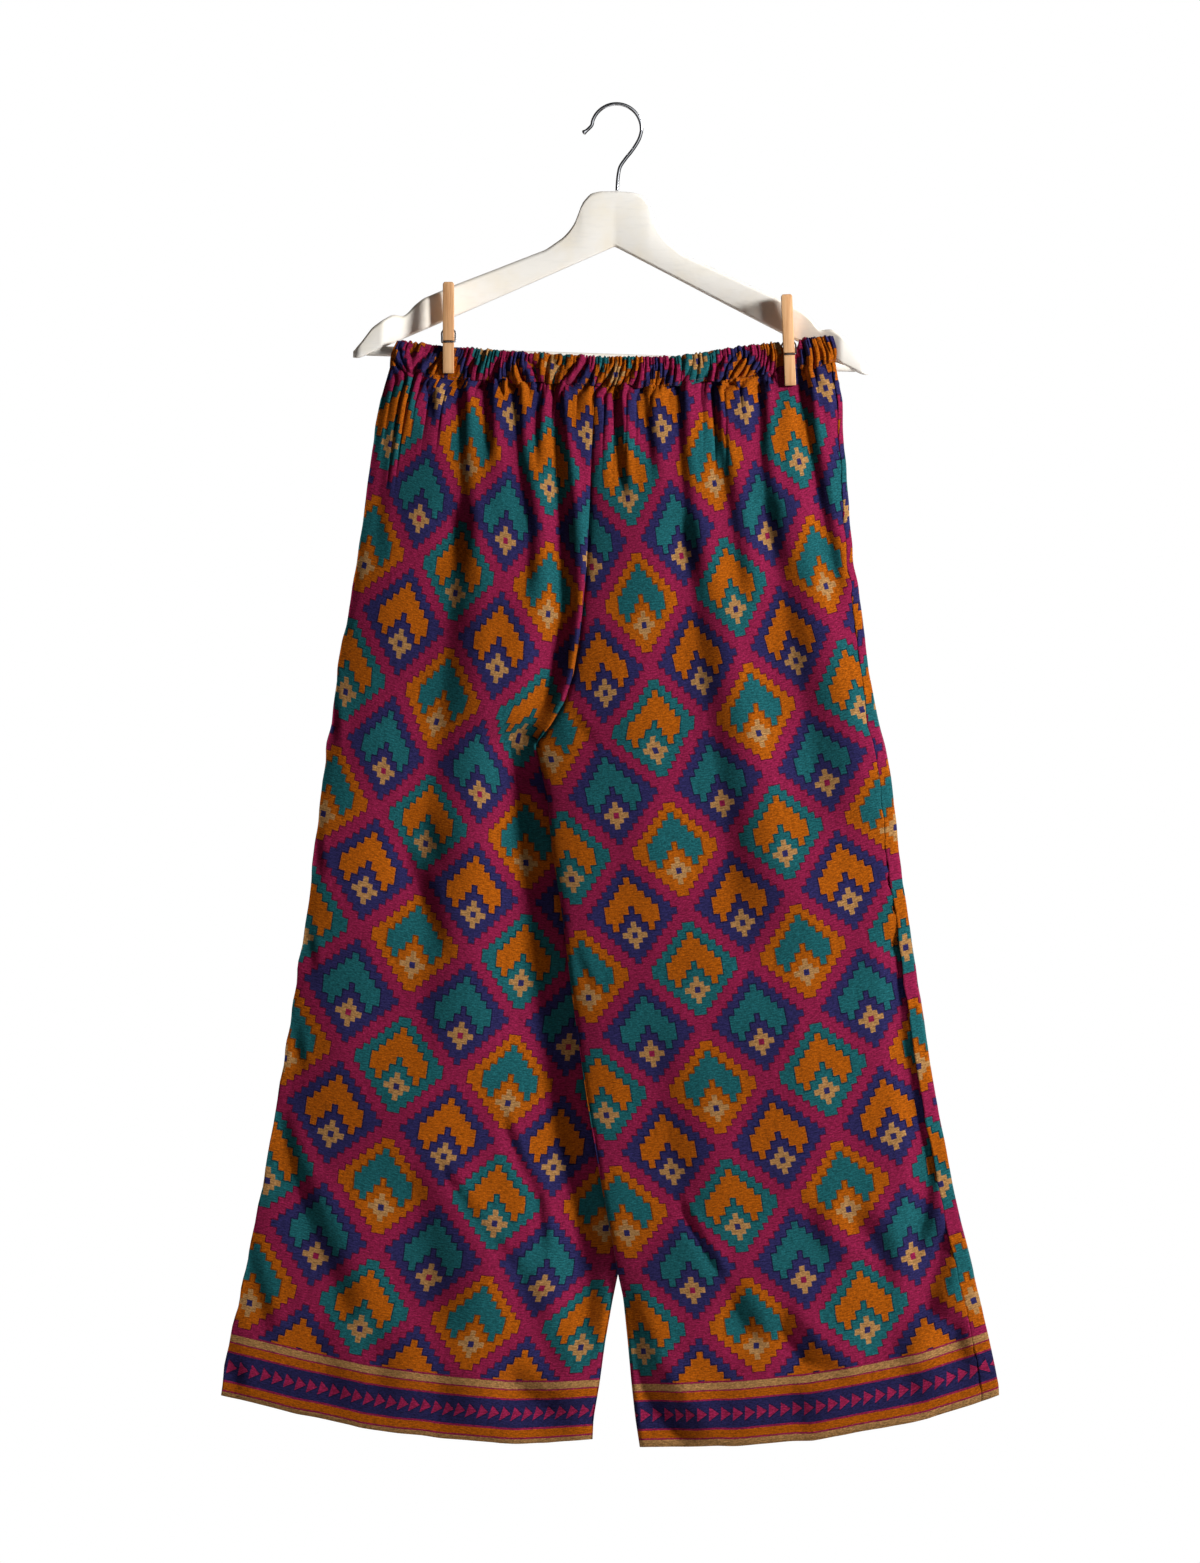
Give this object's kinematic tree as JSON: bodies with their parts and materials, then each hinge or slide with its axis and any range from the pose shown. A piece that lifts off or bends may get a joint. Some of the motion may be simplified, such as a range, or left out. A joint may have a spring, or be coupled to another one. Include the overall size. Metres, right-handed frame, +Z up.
{
  "type": "palazzo pants on a clothes hanger",
  "caption": "Wide-leg printed trousers with an elasticated, gathered waist and curved hems, pegged by the waistband to a curved wooden hanger with a round bar and a wire hook.",
  "frame": {"origin": "inner top of the hook's curve, where a rail carries the hanger", "axes": "+Z up, +X to the viewer's right with the garment's front towards the viewer, -Y out of the garment's front"},
  "size_m": [0.6615, 0.0576, 1.145],
  "materials": {
    "printed_cloth": "matt woven viscose with a printed pattern",
    "lacquered_wood": "off-white satin lacquer",
    "chrome_wire": "polished",
    "peg_wood": "bare, sanded",
    "spring_steel": "plain drawn wire"
  },
  "bodies": {
    "root": {"front_leg_left": "printed_cloth", "front_leg_right": "printed_cloth", "back_leg_left": "printed_cloth", "back_leg_right": "printed_cloth", "waist_casing_front": "printed_cloth", "waist_casing_back": "printed_cloth", "hanger_body": "lacquered_wood", "hanger_bar": "lacquered_wood", "hanger_hook": "chrome_wire", "peg_left_front_leg": "peg_wood", "peg_left_back_leg": "peg_wood", "peg_left_spring": "spring_steel", "peg_right_front_leg": "peg_wood", "peg_right_back_leg": "peg_wood", "peg_right_spring": "spring_steel"}
  },
  "joints": []
}
